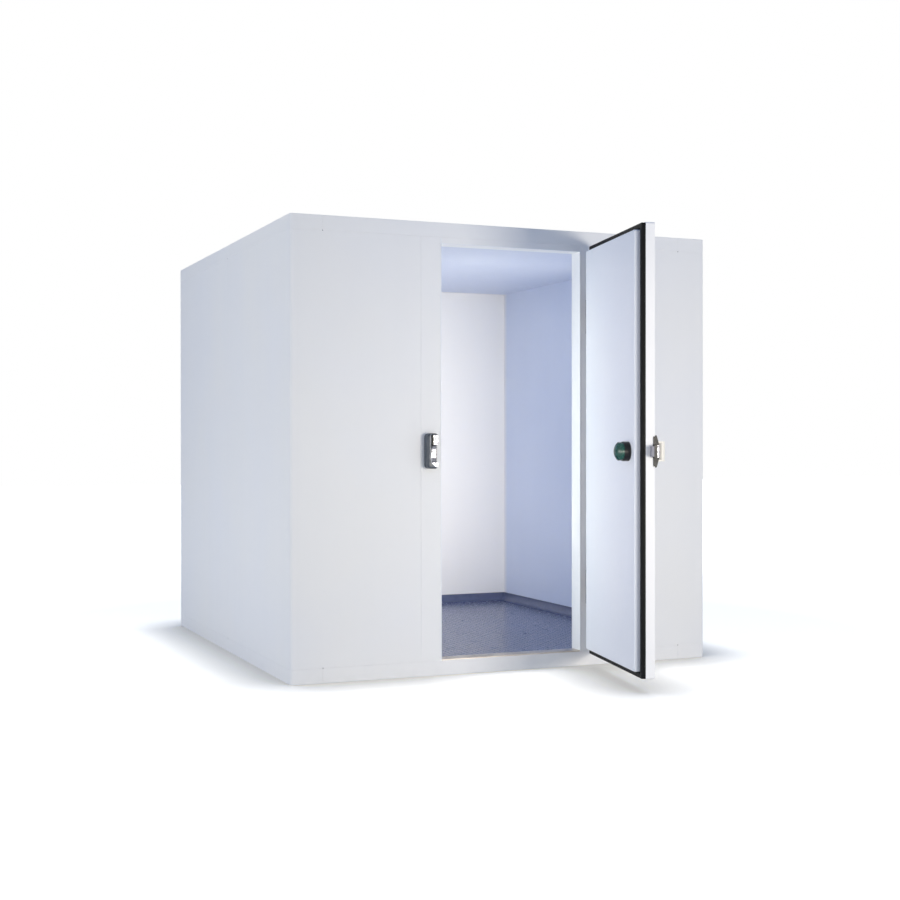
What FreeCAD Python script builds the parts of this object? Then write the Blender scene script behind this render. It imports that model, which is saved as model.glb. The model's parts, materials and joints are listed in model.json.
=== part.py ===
import FreeCAD, Part
import math
import os
import re

import Sketcher

# Walk-in cold room of insulated sandwich panels, millimetres, +Z up.
# The origin is the centre of the footprint on the ground; the doorway is in the front wall, at -Y.
# The door is modelled shut, about its hinge pin, and then swung open by door_angle.

os.makedirs("parts", exist_ok=True)
doc = FreeCAD.newDocument("ColdRoom")

# Driving sizes: name, value.
SIZES = [
    ("room_width", 2210),
    ("room_depth", 2330),
    ("room_height", 2150),
    ("wall_thickness", 80),
    ("floor_thickness", 70),
    ("ceiling_thickness", 70),
    ("side_strip_width", 156),
    ("deck_front_depth", 1321),
    ("side_front_length", 1155),
    ("rear_right_length", 1105),
    ("front_left_length", 640),
    ("door_section_length", 955),
    ("corner_radius", 15),
    ("seam_bevel", 1.5),
    ("tongue_width", 22),
    ("tongue_depth", 10),
    ("tongue_taper", 2),
    ("joint_clearance", 0.4),
    ("opening_offset", 106),
    ("opening_width", 743),
    ("head_height", 26),
    ("lining_thickness", 4),
    ("lining_depth", 87),
    ("architrave_width", 26),
    ("threshold_height", 6),
    ("threshold_bevel", 2),
    ("covering_thickness", 3),
    ("cove_height", 48),
    ("cove_lip", 4),
    ("hinge_offset", 56.5),
    ("hinge_standoff", 35),
    ("door_angle", 78.5),
    ("leaf_overlap", 21),
    ("leaf_bottom", 66),
    ("leaf_thickness", 43),
    ("leaf_corner_radius", 8),
    ("leaf_edge_radius", 3),
    ("rim_thickness", 10),
    ("rim_inset", 2),
    ("rim_edge_radius", 2),
    ("gasket_thickness", 8.5),
    ("gasket_width", 24),
    ("gasket_bulb_radius", 4),
    ("gasket_edge_radius", 1.5),
    ("seal_gap", 1),
    ("plug_clearance", 9),
    ("plug_depth", 24),
    ("plug_edge_radius", 5),
    ("hinge_height", 180),
    ("hinge_low_rise", 324),
    ("hinge_high_drop", 341),
    ("knuckle_radius", 13),
    ("knuckle_gap", 1),
    ("pin_radius", 6),
    ("pin_clearance", 0.3),
    ("hinge_plate_thickness", 7),
    ("hinge_plate_radius", 12),
    ("hinge_plate_bevel", 1.5),
    ("hinge_web_width", 16),
    ("frame_plate_width", 80),
    ("frame_plate_setback", 25),
    ("leaf_plate_width", 95),
    ("lock_centre", 1066),
    ("strike_width", 60),
    ("strike_height", 167),
    ("strike_depth", 45),
    ("strike_clearance", 8),
    ("strike_corner_radius", 20),
    ("strike_edge_radius", 10),
    ("strike_wall", 8),
    ("recess_width", 41),
    ("recess_curve", 40),
    ("recess_bevel", 4),
    ("keeper_width", 31),
    ("keeper_inset", 4),
    ("keeper_plate", 3),
    ("keeper_gap", 29),
    ("keeper_clearance", 0.3),
    ("cover_height", 141),
    ("cover_length", 150),
    ("cover_depth", 18),
    ("cover_rim", 5),
    ("cover_overhang", 4),
    ("cover_return", 9),
    ("latch_height", 54),
    ("latch_tip_height", 45),
    ("latch_shoulder", 14),
    ("latch_reach", 26),
    ("latch_depth", 29),
    ("latch_rise", 15),
    ("latch_tip", 13),
    ("latch_edge_radius", 2),
    ("lever_height", 70),
    ("lever_tip_height", 44),
    ("lever_length", 175),
    ("lever_thickness", 18),
    ("lever_rise", 38),
    ("lever_edge_radius", 3),
    ("lever_setback", 34),
    ("lever_clearance", 1),
    ("lug_thickness", 8),
    ("knob_setback", 81),
    ("knob_radius", 41),
    ("knob_skirt", 31),
    ("knob_dome", 18),
    ("knob_travel", 12),
    ("knob_clearance", 0.5),
    ("collar_wall", 2),
    ("collar_height", 29),
    ("collar_base", 4),
]
ALIASES = {name for name, _ in SIZES}

sheet = doc.addObject("Spreadsheet::Sheet", "Sizes")
for row, (name, number) in enumerate(SIZES, start=1):
    sheet.set(f"A{row}", name)
    sheet.set(f"B{row}", str(number))
    sheet.setAlias(f"B{row}", name)
doc.recompute()

nodes = []


def sized(text):
    """Write an expression with the sheet's names in full."""
    return re.sub(r"[a-z_]+", lambda word: "Sizes." + word[0] if word[0] in ALIASES else word[0], text)


def number(text):
    """Work out an expression now, to draw a sketch near its final shape."""
    return float(sheet.evalExpression(sized(text)))


def bind(thing, prop, text):
    thing.setExpression(prop, sized(text))


def place(thing, x="0", y="0", z="0", turn="0"):
    bind(thing, ".Placement.Base.x", x)
    bind(thing, ".Placement.Base.y", y)
    bind(thing, ".Placement.Base.z", z)
    bind(thing, ".Placement.Rotation.Angle", turn)


def place_on_door(thing, x="0", y="0", z="0"):
    """Place a piece by its place on the shut door, measured from the hinge pin."""
    place(thing,
          f"{HINGE_X} + ({x}) * cos(door_angle) - ({y}) * sin(door_angle)",
          f"{HINGE_Y} + ({x}) * sin(door_angle) + ({y}) * cos(door_angle)",
          z, "door_angle")


def keep(thing, label):
    """Name a finished piece and list it as one to write out."""
    thing.Label = label
    nodes.append(thing)
    return thing


def new_body(label, whole=True):
    """A body; one that isn't whole goes into another piece."""
    body = doc.addObject("PartDesign::Body", label.title().replace("_", ""))
    return keep(body, label) if whole else body


def new_sketch(body, plane, lift="0"):
    """Attach a sketch to one of the body's own planes, lifted along the plane's normal."""
    sketch = body.newObject("Sketcher::SketchObject", "Sketch")
    origin_plane = [f for f in body.Origin.OriginFeatures if f.Role == plane][0]
    sketch.AttachmentSupport = [(origin_plane, "")]
    sketch.MapMode = "FlatFace"
    bind(sketch, ".AttachmentOffset.Base.z", lift)
    return sketch


def pin_point(sketch, geometry, point, axis, text):
    kind = "DistanceX" if axis == 0 else "DistanceY"
    index = sketch.addConstraint(Sketcher.Constraint(kind, -1, 1, geometry, point, number(text)))
    bind(sketch, f"Constraints[{index}]", text)


def add_loop(sketch, corners):
    """Draw a closed outline. A corner is (x, y), or (x, y, cx, cy) where an arc about (cx, cy) follows."""
    first = sketch.GeometryCount
    places = [tuple(number(text) for text in corner) for corner in corners]
    count = len(corners)
    ends = []
    for k, (here, there) in enumerate(zip(places, places[1:] + places[:1])):
        start = FreeCAD.Vector(here[0], here[1], 0)
        finish = FreeCAD.Vector(there[0], there[1], 0)
        if len(here) == 2:
            sketch.addGeometry(Part.LineSegment(start, finish), False)
            ends.append((1, 2))
            continue
        centre = FreeCAD.Vector(here[2], here[3], 0)
        out, back = start - centre, finish - centre
        left_turn = out.cross(back).z > 0
        low, high = (out, back) if left_turn else (back, out)
        circle = Part.Circle(centre, FreeCAD.Vector(0, 0, 1), out.Length)
        arc = Part.ArcOfCircle(circle, math.atan2(low.y, low.x), math.atan2(high.y, high.x))
        sketch.addGeometry(arc, False)
        ends.append((1, 2) if left_turn else (2, 1))
    for k in range(count):
        before = (k - 1) % count
        sketch.addConstraint(Sketcher.Constraint(
            "Coincident", first + before, ends[before][1], first + k, ends[k][0]))
    for k, corner in enumerate(corners):
        before = places[(k - 1) % count]
        axes = (0, 1)
        if len(before) == 4:
            # An arc leaves its end one way to move, so one distance settles it.
            swing = (places[k][0] - before[2], places[k][1] - before[3])
            axes = (0,) if abs(swing[1]) > abs(swing[0]) else (1,)
        for axis in axes:
            pin_point(sketch, first + k, ends[k][0], axis, corner[axis])
        if len(corner) == 4:
            pin_point(sketch, first + k, 3, 0, corner[2])
            pin_point(sketch, first + k, 3, 1, corner[3])
    return sketch


def pad(body, sketch, length, back=False):
    feature = body.newObject("PartDesign::Pad", "Pad")
    feature.Profile = sketch
    bind(feature, "Length", length)
    feature.Reversed = back
    return feature


def prism(label, plane, corners, length, lift="0", back=False, whole=True):
    """A body of one padded outline."""
    body = new_body(label, whole)
    pad(body, add_loop(new_sketch(body, plane, lift), corners), length, back)
    return body


def dress(body, kind, size, chosen):
    """Round or bevel the edges of the body's last feature that the test picks."""
    doc.recompute()
    base = body.Tip
    names = [f"Edge{k}" for k, edge in enumerate(base.Shape.Edges, start=1) if chosen(edge.BoundBox, edge)]
    feature = body.newObject("PartDesign::" + kind, kind)
    feature.Base = (base, names)
    bind(feature, "Radius" if kind == "Fillet" else "Size", size)
    return feature


def cut(body, sketch, length=None, back=False, both=False):
    feature = body.newObject("PartDesign::Pocket", "Pocket")
    feature.Profile = sketch
    feature.Reversed = back
    feature.Midplane = both
    if length is None:
        feature.Type = "ThroughAll"
    else:
        bind(feature, "Length", length)
    return feature


def rectangle(left, bottom, right, top, radius=None):
    """Corners of a rectangle, anticlockwise, with rounded corners where a radius is given."""
    if radius is None:
        return [(left, bottom), (right, bottom), (right, top), (left, top)]
    inner_left, inner_right = f"{left} + {radius}", f"{right} - {radius}"
    inner_bottom, inner_top = f"{bottom} + {radius}", f"{top} - {radius}"
    return [
        (inner_left, bottom), (inner_right, bottom, inner_right, inner_bottom),
        (right, inner_bottom), (right, inner_top, inner_right, inner_top),
        (inner_right, top), (inner_left, top, inner_left, inner_top),
        (left, inner_top), (left, inner_bottom, inner_left, inner_bottom),
    ]


def block(label, x, y, z, length, width, height):
    """A plain box piece with its lowest corner at x, y, z."""
    box = doc.addObject("Part::Box", label.title().replace("_", ""))
    bind(box, "Length", length)
    bind(box, "Width", width)
    bind(box, "Height", height)
    place(box, x, y, z)
    return box


def rod(x, y, z, radius, height):
    cylinder = doc.addObject("Part::Cylinder", "Rod")
    bind(cylinder, "Radius", radius)
    bind(cylinder, "Height", height)
    place(cylinder, x, y, z)
    return cylinder


def fuse(shapes):
    joined = doc.addObject("Part::MultiFuse", "Joined")
    joined.Shapes = shapes
    joined.Refine = True
    return joined


def bore(solid, hole):
    bored = doc.addObject("Part::Cut", "Bored")
    bored.Base = solid
    bored.Tool = hole
    return bored


# Places that several pieces share
HALF_WIDTH = "room_width / 2"
HALF_DEPTH = "room_depth / 2"
WALL_HEIGHT = "room_height - floor_thickness - ceiling_thickness"
WALL_TOP = "room_height - ceiling_thickness"
INNER_HALF_WIDTH = "(room_width / 2 - wall_thickness)"
INNER_HALF_DEPTH = "(room_depth / 2 - wall_thickness)"
FRONT_FACE = "(0 - room_depth / 2)"
FRONT_INNER_FACE = "(wall_thickness - room_depth / 2)"
SECTION_LEFT = "(front_left_length - room_width / 2)"
SECTION_RIGHT = "(front_left_length + door_section_length - room_width / 2)"
OPENING_LEFT = "(front_left_length + opening_offset - room_width / 2)"
OPENING_RIGHT = "(front_left_length + opening_offset + opening_width - room_width / 2)"
OPENING_TOP = "(room_height - ceiling_thickness - head_height - lining_thickness)"
FLOOR_FINISH = "(floor_thickness + covering_thickness)"
ARCHITRAVE = "(lining_depth - wall_thickness)"
HINGE_X = "(front_left_length + opening_offset + opening_width + hinge_offset - room_width / 2)"
HINGE_Y = "(0 - room_depth / 2 - hinge_standoff)"

# The share of a corner's radius that is left at its middle, where a mitre meets it
MITRE_SHARE = "(1 - cos(45))"


def panel_edge(kind, thickness):
    """One edge of a panel, from its outer to its inner face, as distances past the panel's nominal end."""
    if kind == "mitre":
        return [
            ("0 - corner_radius", "0", "0 - corner_radius", "corner_radius"),
            (f"0 - corner_radius * {MITRE_SHARE}", f"corner_radius * {MITRE_SHARE}"),
            (f"0 - {thickness}", thickness),
        ]
    middle = []
    if kind == "tongue":
        half = "tongue_width / 2"
        reach = "tongue_depth"
        middle = [("0", f"{thickness} / 2 - {half}"), (reach, f"{thickness} / 2 - {half} + tongue_taper"),
                  (reach, f"{thickness} / 2 + {half} - tongue_taper"), ("0", f"{thickness} / 2 + {half}")]
    if kind == "groove":
        reach = "0 - tongue_depth - joint_clearance"
        half = "(tongue_width / 2 + joint_clearance)"
        middle = [("0", f"{thickness} / 2 - {half}"), (reach, f"{thickness} / 2 - {half} + tongue_taper"),
                  (reach, f"{thickness} / 2 + {half} - tongue_taper"), ("0", f"{thickness} / 2 + {half}")]
    return ([("0 - seam_bevel", "0"), ("0", "seam_bevel")] + middle
            + [("0", f"{thickness} - seam_bevel"), ("0 - seam_bevel", thickness)])


def panel_outline(length, thickness, start, end):
    """Section of a panel that lies along x from 0 to length, with its outer face on y = 0."""
    def beyond(distance):
        return f"{length} + ({distance})"

    def before(distance):
        return f"0 - ({distance})"

    far = []
    for corner in panel_edge(end, thickness):
        far.append((beyond(corner[0]), corner[1])
                   + ((beyond(corner[2]), corner[3]) if len(corner) == 4 else ()))
    edge = panel_edge(start, thickness)
    near = []
    for k in reversed(range(len(edge))):
        corner = (before(edge[k][0]), edge[k][1])
        arc_back = edge[k - 1] if k > 0 and len(edge[k - 1]) == 4 else None
        near.append(corner + ((before(arc_back[2]), arc_back[3]) if arc_back else ()))
    return far + near


def wall_panel(label, length, start, end, x, y, turn):
    """An upright panel. Its outer face is on its right as one looks along it from its start."""
    body = prism(label, "XY_Plane", panel_outline(length, "wall_thickness", start, end), WALL_HEIGHT)
    place(body, x, y, "floor_thickness", turn)


def deck(prefix, thickness, z):
    """Floor or ceiling: two narrow side strips, and a front and a rear panel tongued together."""
    strip_outline = [
        ("corner_radius", "0"), ("side_strip_width - seam_bevel", "0"), ("side_strip_width", "seam_bevel"),
        ("side_strip_width", "room_depth - seam_bevel"), ("side_strip_width - seam_bevel", "room_depth"),
        ("corner_radius", "room_depth", "corner_radius", "room_depth - corner_radius"),
        ("0", "room_depth - corner_radius"),
        ("0", "corner_radius", "corner_radius", "corner_radius"),
    ]
    for side, x, y, turn in (("left", f"0 - {HALF_WIDTH}", FRONT_FACE, "0"),
                             ("right", HALF_WIDTH, HALF_DEPTH, "180")):
        strip = prism(f"{prefix}_strip_{side}", "XY_Plane", strip_outline, thickness)
        dress(strip, "Chamfer", "seam_bevel", lambda box, edge: box.ZLength < 0.001)
        place(strip, x, y, z, turn)
    width = "room_width - 2 * side_strip_width"
    x = f"side_strip_width - {HALF_WIDTH}"
    front = prism(f"{prefix}_panel_front", "YZ_Plane",
                  panel_outline("deck_front_depth", thickness, "plain", "tongue"), width)
    place(front, x, FRONT_FACE, z)
    rear = prism(f"{prefix}_panel_rear", "YZ_Plane",
                 panel_outline("(room_depth - deck_front_depth)", thickness, "groove", "plain"), width)
    place(rear, x, f"deck_front_depth - {HALF_DEPTH}", z)


deck("floor", "floor_thickness", "0")
deck("ceiling", "ceiling_thickness", WALL_TOP)

# Walls, anticlockwise from the front left corner
wall_panel("front_wall_left", "front_left_length", "mitre", "tongue", f"0 - {HALF_WIDTH}", FRONT_FACE, "0")
wall_panel("doorway_post_left", "(opening_offset - lining_thickness)", "groove", "plain",
           SECTION_LEFT, FRONT_FACE, "0")
wall_panel("doorway_post_right",
           "(door_section_length - opening_offset - opening_width - lining_thickness)", "plain", "tongue",
           f"{OPENING_RIGHT} + lining_thickness", FRONT_FACE, "0")
wall_panel("front_wall_right", "(room_width - front_left_length - door_section_length)", "groove", "mitre",
           SECTION_RIGHT, FRONT_FACE, "0")
wall_panel("right_wall_front", "side_front_length", "mitre", "tongue", HALF_WIDTH, FRONT_FACE, "90")
wall_panel("right_wall_rear", "(room_depth - side_front_length)", "groove", "mitre",
           HALF_WIDTH, f"side_front_length - {HALF_DEPTH}", "90")
wall_panel("rear_wall_right", "rear_right_length", "mitre", "tongue", HALF_WIDTH, HALF_DEPTH, "180")
wall_panel("rear_wall_left", "(room_width - rear_right_length)", "groove", "mitre",
           f"{HALF_WIDTH} - rear_right_length", HALF_DEPTH, "180")
wall_panel("left_wall_rear", "(room_depth - side_front_length)", "mitre", "tongue",
           f"0 - {HALF_WIDTH}", HALF_DEPTH, "270")
wall_panel("left_wall_front", "side_front_length", "groove", "mitre",
           f"0 - {HALF_WIDTH}", f"side_front_length - {HALF_DEPTH}", "270")

# Doorway: head beam, lining with its inner architrave, threshold
keep(block("doorway_head", OPENING_LEFT, FRONT_FACE, f"{WALL_TOP} - head_height",
           "opening_width", "wall_thickness", "head_height"), "doorway_head")

side_lining = [("0 - lining_thickness", "0"), ("0", "0"), ("0", "lining_depth"),
               ("0 - architrave_width", "lining_depth"), ("0 - architrave_width", "wall_thickness"),
               ("0 - lining_thickness", "wall_thickness")]
mirrored_lining = [(x.replace("0 - ", ""), y) for x, y in reversed(side_lining)]
place(prism("lining_left", "XY_Plane", side_lining, WALL_HEIGHT), OPENING_LEFT, FRONT_FACE, "floor_thickness")
place(prism("lining_right", "XY_Plane", mirrored_lining, WALL_HEIGHT),
      OPENING_RIGHT, FRONT_FACE, "floor_thickness")
head_lining = [("0", "0"), ("lining_depth", "0"), ("lining_depth", "architrave_width"),
               ("wall_thickness", "architrave_width"), ("wall_thickness", "lining_thickness"),
               ("0", "lining_thickness")]
place(prism("lining_head", "YZ_Plane", head_lining, "opening_width"), OPENING_LEFT, FRONT_FACE, OPENING_TOP)

threshold_section = [("0", "0"), ("lining_depth", "0"), ("lining_depth", "covering_thickness"),
                     ("lining_depth - 2 * threshold_height", "threshold_height"),
                     ("threshold_bevel", "threshold_height"), ("0", "threshold_height - threshold_bevel")]
place(prism("threshold", "YZ_Plane", threshold_section, "opening_width"),
      OPENING_LEFT, FRONT_FACE, "floor_thickness")

# Floor finish and the coved skirting round the foot of the walls
doorway_left = f"{OPENING_LEFT} - architrave_width"
doorway_right = f"{OPENING_RIGHT} + architrave_width"
doorway_back = f"{FRONT_INNER_FACE} + {ARCHITRAVE}"
covering_outline = [
    (f"0 - {INNER_HALF_WIDTH}", FRONT_INNER_FACE), (doorway_left, FRONT_INNER_FACE),
    (doorway_left, doorway_back), (doorway_right, doorway_back),
    (doorway_right, FRONT_INNER_FACE), (INNER_HALF_WIDTH, FRONT_INNER_FACE),
    (INNER_HALF_WIDTH, INNER_HALF_DEPTH), (f"0 - {INNER_HALF_WIDTH}", INNER_HALF_DEPTH),
]
place(prism("floor_covering", "XY_Plane", covering_outline, "covering_thickness"), z="floor_thickness")


def cove(label, length, x, y, turn, start_mitred=True, end_mitred=True):
    """Coved skirting along a wall, with its back on y = 0 and mitred ends where it turns a corner."""
    section = [("0", "0"), ("cove_height", "0"), ("cove_height", "cove_lip", "cove_height", "cove_height"),
               ("cove_lip", "cove_height"), ("0", "cove_height")]
    body = prism(label, "YZ_Plane", section, length)
    mitres = new_sketch(body, "XY_Plane")
    if start_mitred:
        add_loop(mitres, [("0", "0"), ("cove_height", "cove_height"), ("0", "cove_height")])
    if end_mitred:
        add_loop(mitres, [(length, "0"), (length, "cove_height"), (f"{length} - cove_height", "cove_height")])
    cut(body, mitres, back=True)
    place(body, x, y, FLOOR_FINISH, turn)


cove("cove_left", f"2 * {INNER_HALF_DEPTH}", f"0 - {INNER_HALF_WIDTH}", INNER_HALF_DEPTH, "270")
cove("cove_right", f"2 * {INNER_HALF_DEPTH}", INNER_HALF_WIDTH, FRONT_INNER_FACE, "90")
cove("cove_rear", f"2 * {INNER_HALF_WIDTH}", INNER_HALF_WIDTH, INNER_HALF_DEPTH, "180")
cove("cove_front_left", f"({doorway_left} + {INNER_HALF_WIDTH})", f"0 - {INNER_HALF_WIDTH}", FRONT_INNER_FACE,
     "0", end_mitred=False)
cove("cove_front_right", f"({INNER_HALF_WIDTH} - ({doorway_right}))", doorway_right, FRONT_INNER_FACE,
     "0", start_mitred=False)

# The shut door, measured from the hinge pin: x across the doorway, y into the room
LEAF_HINGE_EDGE = "(leaf_overlap - hinge_offset)"
LEAF_FREE_EDGE = "(0 - leaf_overlap - opening_width - hinge_offset)"
LEAF_TOP = f"({OPENING_TOP} + leaf_overlap)"
SEAL_FACE = "(hinge_standoff - seal_gap)"
SEAL_BACK = "(hinge_standoff - seal_gap - gasket_thickness)"
LEAF_INNER = "(hinge_standoff - seal_gap - gasket_thickness - rim_thickness)"
LEAF_OUTER = "(hinge_standoff - seal_gap - gasket_thickness - rim_thickness - leaf_thickness)"
PLUG_FACE = "(hinge_standoff + plug_depth)"
PLUG_HINGE_EDGE = "(0 - hinge_offset - plug_clearance)"
PLUG_FREE_EDGE = "(plug_clearance - opening_width - hinge_offset)"
PLUG_BOTTOM = "(leaf_bottom + leaf_overlap + plug_clearance)"
PLUG_TOP = f"({OPENING_TOP} - plug_clearance)"

leaf = prism("door_leaf", "XZ_Plane",
             rectangle(LEAF_FREE_EDGE, "leaf_bottom", LEAF_HINGE_EDGE, LEAF_TOP, "leaf_corner_radius"),
             "leaf_thickness", lift=f"0 - {LEAF_INNER}")
leaf_outer = number(LEAF_OUTER)
dress(leaf, "Fillet", "leaf_edge_radius",
      lambda box, edge: box.YLength < 0.001 and abs(box.YMin - leaf_outer) < 0.001)
place_on_door(leaf)

plug = prism("door_plug", "XZ_Plane",
             rectangle(PLUG_FREE_EDGE, PLUG_BOTTOM, PLUG_HINGE_EDGE, PLUG_TOP, "leaf_corner_radius"),
             f"({PLUG_FACE} - {LEAF_INNER})", lift=f"0 - {PLUG_FACE}")
plug_face = number(PLUG_FACE)
dress(plug, "Fillet", "plug_edge_radius",
      lambda box, edge: box.YLength < 0.001 and abs(box.YMin - plug_face) < 0.001)
place_on_door(plug)


def door_ring(label, inset, width, front, back):
    """A frame round the plug, set in from the leaf's edge."""
    body = new_body(label)
    sketch = new_sketch(body, "XZ_Plane", f"0 - {front}")
    outer = (f"{LEAF_FREE_EDGE} + {inset}", f"leaf_bottom + {inset}",
             f"{LEAF_HINGE_EDGE} - {inset}", f"{LEAF_TOP} - {inset}")
    add_loop(sketch, rectangle(*outer, "leaf_corner_radius"))
    if width is None:
        add_loop(sketch, rectangle(PLUG_FREE_EDGE, PLUG_BOTTOM, PLUG_HINGE_EDGE, PLUG_TOP,
                                   "leaf_corner_radius"))
    else:
        add_loop(sketch, rectangle(f"{outer[0]} + {width}", f"{outer[1]} + {width}",
                                   f"{outer[2]} - {width}", f"{outer[3]} - {width}"))
    pad(body, sketch, f"({front} - {back})")
    place_on_door(body)
    return body


def along_outside(box, level):
    """True for the edges of a door ring's outer outline on the plane y = level."""
    left, right = number(f"{LEAF_FREE_EDGE} + rim_inset"), number(f"{LEAF_HINGE_EDGE} - rim_inset")
    low, high = number("leaf_bottom + rim_inset"), number(f"{LEAF_TOP} - rim_inset")
    reach = min(box.XMin - left, right - box.XMax, box.ZMin - low, high - box.ZMax)
    return box.YLength < 0.001 and abs(box.YMin - level) < 0.001 and abs(reach) < 0.001


seal_face, seal_back = number(SEAL_FACE), number(SEAL_BACK)
rim = door_ring("door_rim", "rim_inset", None, SEAL_BACK, LEAF_INNER)
dress(rim, "Fillet", "rim_edge_radius", lambda box, edge: along_outside(box, seal_back))
gasket = door_ring("door_gasket", "rim_inset", "gasket_width", SEAL_FACE, SEAL_BACK)
dress(gasket, "Fillet", "gasket_bulb_radius",
      lambda box, edge: box.YLength < 0.001 and abs(box.YMin - seal_face) < 0.001)
dress(gasket, "Fillet", "gasket_edge_radius", lambda box, edge: along_outside(box, seal_back))

# Two hinges: a plate and pin on the doorway post, a plate and bored knuckle on the leaf
HALF_HINGE = "hinge_height / 2"


def hinge_plate(label, left, right, foot, face):
    """A plate with rounded, bevelled corners, whose back is on the plane y = face."""
    plate = prism(label, "XZ_Plane",
                  rectangle(left, foot, right, f"{foot} + hinge_height", "hinge_plate_radius"),
                  "hinge_plate_thickness", lift=f"0 - {face}", whole=False)
    front = number(f"{face} - hinge_plate_thickness")
    dress(plate, "Chamfer", "hinge_plate_bevel",
          lambda box, edge: box.YLength < 0.001 and abs(box.YMin - front) < 0.001)
    return plate


for name, centre in (("lower", "(leaf_bottom + hinge_low_rise)"), ("upper", f"({LEAF_TOP} - hinge_high_drop)")):
    foot = f"{centre} - {HALF_HINGE}"
    frame_plate = hinge_plate(f"frame_plate_{name}", f"{HINGE_X} - frame_plate_setback",
                              f"{HINGE_X} - frame_plate_setback + frame_plate_width", foot, FRONT_FACE)
    frame_web = block(f"frame_web_{name}", f"{HINGE_X} - hinge_web_width / 2", HINGE_Y, foot,
                      "hinge_web_width", "hinge_standoff", f"{HALF_HINGE} - knuckle_gap / 2")
    frame_knuckle = rod(HINGE_X, HINGE_Y, foot, "knuckle_radius", f"{HALF_HINGE} - knuckle_gap / 2")
    pin = rod(HINGE_X, HINGE_Y, foot, "pin_radius", "hinge_height")
    keep(fuse([frame_plate, frame_web, frame_knuckle, pin]), f"hinge_{name}_frame_half")

    leaf_plate = hinge_plate(f"leaf_plate_{name}", "0 - leaf_plate_width", "0", f"0 - {HALF_HINGE}", LEAF_OUTER)
    leaf_web = block(f"leaf_web_{name}", "0 - knuckle_radius", f"{LEAF_OUTER} - hinge_plate_thickness",
                     "knuckle_gap / 2", "knuckle_radius", f"0 - ({LEAF_OUTER} - hinge_plate_thickness)",
                     f"{HALF_HINGE} - knuckle_gap / 2")
    leaf_knuckle = rod("0", "0", "knuckle_gap / 2", "knuckle_radius", f"{HALF_HINGE} - knuckle_gap / 2")
    pin_hole = rod("0", "0", f"0 - {HALF_HINGE}", "pin_radius + pin_clearance", "hinge_height * 2")
    leaf_half = bore(fuse([leaf_plate, leaf_web, leaf_knuckle]), pin_hole)
    place_on_door(keep(leaf_half, f"hinge_{name}_leaf_half"), z=centre)

# Strike on the left doorway post, with a recess that the latch swings into
STRIKE_RIGHT = "(0 - leaf_overlap - strike_clearance)"
STRIKE_LEFT = "(0 - leaf_overlap - strike_clearance - strike_width)"
STRIKE_HALF = "strike_height / 2"
strike = prism("strike_case", "XZ_Plane",
               rectangle(STRIKE_LEFT, f"0 - {STRIKE_HALF}", STRIKE_RIGHT, STRIKE_HALF, "strike_corner_radius"),
               "strike_depth")
strike_front = -number("strike_depth")
dress(strike, "Fillet", "strike_edge_radius",
      lambda box, edge: box.YLength < 0.001 and abs(box.YMin - strike_front) < 0.001)
recess_left = f"{STRIKE_RIGHT} - recess_width"
recess_right = f"{STRIKE_RIGHT} + strike_wall"
recess_low = f"strike_wall - {STRIKE_HALF}"
recess_high = f"{STRIKE_HALF} - strike_wall"
recess = add_loop(new_sketch(strike, "XZ_Plane", "strike_depth"), [
    (f"{recess_left} + recess_curve", recess_low), (recess_right, recess_low), (recess_right, recess_high),
    (recess_left, recess_high),
    (recess_left, f"{recess_low} + recess_curve", f"{recess_left} + recess_curve",
     f"{recess_low} + recess_curve")])
cut(strike, recess, "strike_depth - strike_wall")
mouth_left, mouth_curve_end = number(recess_left), number(f"{recess_left} + recess_curve")
dress(strike, "Chamfer", "recess_bevel",
      lambda box, edge: (box.YLength < 0.001 and abs(box.YMin - strike_front) < 0.001
                         and abs(box.XMin - mouth_left) < 0.001 and box.XMax < mouth_curve_end + 0.001))
place(strike, OPENING_LEFT, FRONT_FACE, "lock_centre")

keeper_top = f"({STRIKE_HALF} - strike_wall - keeper_clearance)"
keeper_front = "(0 - strike_depth + strike_wall)"
keeper_back = "(0 - strike_wall)"
keeper_seat = "(0 - strike_wall - keeper_plate)"
keeper_sweep = f"({keeper_seat} - {keeper_front})"
keeper = new_body("strike_keeper")
upper_half = new_sketch(keeper, "YZ_Plane", f"{STRIKE_RIGHT} - keeper_width")
add_loop(upper_half, [
    (keeper_back, "0 - keeper_gap"), (keeper_back, keeper_top), (keeper_front, keeper_top),
    (keeper_front, "keeper_gap", keeper_front, f"keeper_gap - {keeper_sweep}"),
    (keeper_seat, f"keeper_gap - {keeper_sweep}"), (keeper_seat, "0 - keeper_gap")])
pad(keeper, upper_half, "keeper_width - keeper_inset")
lower_half = new_sketch(keeper, "YZ_Plane", f"{recess_left} + keeper_clearance")
add_loop(lower_half, [
    (keeper_back, "0 - keeper_gap"), (keeper_seat, "0 - keeper_gap", keeper_front, "0 - keeper_gap"),
    (keeper_front, f"0 - keeper_gap - {keeper_sweep}"), (keeper_front, f"0 - {keeper_top}"),
    (keeper_back, f"0 - {keeper_top}")])
pad(keeper, lower_half, "recess_width - keeper_clearance - keeper_inset")
keeper_left = f"({recess_left} + keeper_clearance)"
keeper_curve = "(recess_curve - keeper_clearance)"
corner_off = add_loop(new_sketch(keeper, "XZ_Plane"), [
    (keeper_left, f"{keeper_curve} - {keeper_top}", f"{keeper_left} + {keeper_curve}",
     f"{keeper_curve} - {keeper_top}"),
    (f"{keeper_left} + {keeper_curve}", f"0 - {keeper_top}"),
    (f"{keeper_left} + {keeper_curve}", f"0 - strike_height"), (f"{keeper_left} - strike_wall", "0 - strike_height"),
    (f"{keeper_left} - strike_wall", f"{keeper_curve} - {keeper_top}")])
cut(keeper, corner_off, both=True)
place(keeper, OPENING_LEFT, FRONT_FACE, "lock_centre")

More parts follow.
